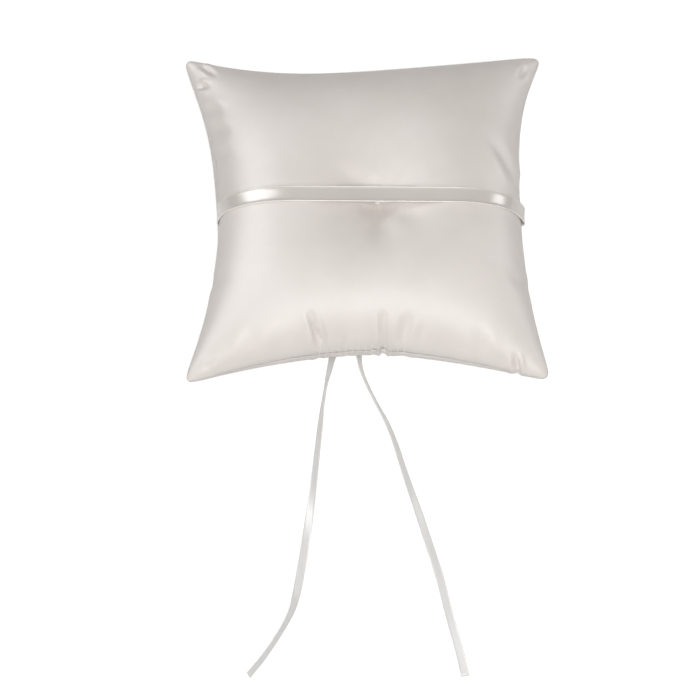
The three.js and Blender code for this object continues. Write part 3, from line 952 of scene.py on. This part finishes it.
# %% [markdown]
# Sewing thread is spun polyester, short fibres twisted together. It is a little paler than the satin
# here, its surface reflects less light, and loose fibre ends give it a faint fuzz. The filling is loose
# polyester fibre, matte and white. Strands could be drawn one by one, but they would be too fine to show,
# so both have a fine noise relief.

# %% Thread and fibre
def plain_fibre(name, colour, roughness, grain):
    material, tree = new_material(name)
    where = add_node(tree, "ShaderNodeTexCoord")
    strands = add_node(
        tree, "ShaderNodeTexNoise", values={"Scale": 1 / grain, "Detail": 4.0},
        links={"Vector": where.outputs["Object"]},
    )
    relief = add_node(
        tree, "ShaderNodeBump", values={"Strength": 0.5, "Distance": grain / 4},
        links={"Height": strands.outputs["Fac"]},
    )
    shader = add_node(
        tree, "ShaderNodeBsdfPrincipled",
        values={"Base Color": linear(colour), "Roughness": roughness, "Sheen Weight": 0.3},
        links={"Normal": relief.outputs["Normal"]},
    )
    finish_material(tree, shader)
    return material


spun_thread = plain_fibre("spun_polyester_thread", "#fbf8f4", 0.45, 0.15 * MM)
fibre_fill = plain_fibre("polyester_fibre_fill", "#f4f3f0", 0.95, 1.5 * MM)

# %% Put the materials on
for piece in (back_panel, front_panel):
    piece.data.materials.append(ivory_satin)
strap.data.materials.append(strap_satin)
for tail in tails.values():
    tail.data.materials.append(tail_satin)
filling.data.materials.append(fibre_fill)
for piece in (seam_thread, closing_stitches, *strap_stitches.values()):
    piece.data.materials.append(spun_thread)
for name in ("tuft_thread", "tuft_knot", "ribbon_tack"):
    for material_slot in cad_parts[name].material_slots:
        material_slot.material = spun_thread

# %% [markdown]
# ## The table and the light
# A white table that is a little brighter than the cloth, and five soft lights. The near softbox lights
# the matte part of the cloth and the overhead one gives the gloss band, so the two can be placed apart.
# The left one is placed for the strap's shoulder to mirror, and there is a weaker one on the right. Both
# give gloss only. A weak fill comes from the near left. The table gives the cloth no matte light: that
# would wash out the thin shade along the seams and under the tails.

# %% Table
TABLE_SIZE = 8
TABLE_GLOW = 0.52  # keeps the table white under soft light
TABLE_HEIGHT = -0.2 * MM  # just under the cloth, so that the two never lie in one plane
bpy.ops.mesh.primitive_plane_add(size=TABLE_SIZE, location=(0, 0, TABLE_HEIGHT))
table = bpy.context.object
table.name = "white_table"
table_material, tree = new_material("white_table_top")
table_shader = add_node(
    tree, "ShaderNodeBsdfPrincipled",
    values={"Base Color": (0.95, 0.95, 0.95, 1), "Roughness": 0.9,
            "Emission Color": (1, 1, 1, 1), "Emission Strength": TABLE_GLOW},
)
finish_material(tree, table_shader)
table.data.materials.append(table_material)
table.visible_diffuse = False

# %% Lights
def soft_light(name, place, size, power, diffuse=True, glossy=True):
    data = bpy.data.lights.new(name, "AREA")
    data.shape = "SQUARE"
    data.size = size
    data.energy = power
    light = bpy.data.objects.new(name, data)
    light.visible_diffuse = diffuse
    light.visible_glossy = glossy
    light.location = place
    light.rotation_euler = (Vector((0, 0, 0.03)) - Vector(place)).to_track_quat("-Z", "Y").to_euler()
    bpy.context.scene.collection.objects.link(light)


soft_light("near_softbox", (0.17, -0.93, 1.73), 0.8, 20.3, glossy=False)
soft_light("overhead_softbox", (0.15, -0.5, 1.9), 0.8, 15.5, diffuse=False)
soft_light("left_softbox", (-0.9, 0.65, 1.22), 0.95, 16, diffuse=False)
soft_light("right_softbox", (1.25, 0.75, 0.8), 0.5, 4, diffuse=False)
soft_light("near_left_fill", (-1.1, -1.2, 0.7), 0.8, 4.2)

# %% The room's own light, and the view
ROOM_LIGHT = 0.31
world = bpy.data.worlds.new("studio")
world.use_nodes = True
world.node_tree.nodes["Background"].inputs["Color"].default_value = linear("#fffdfa")
world.node_tree.nodes["Background"].inputs["Strength"].default_value = ROOM_LIGHT
bpy.context.scene.world = world
bpy.context.scene.view_settings.view_transform = "Standard"
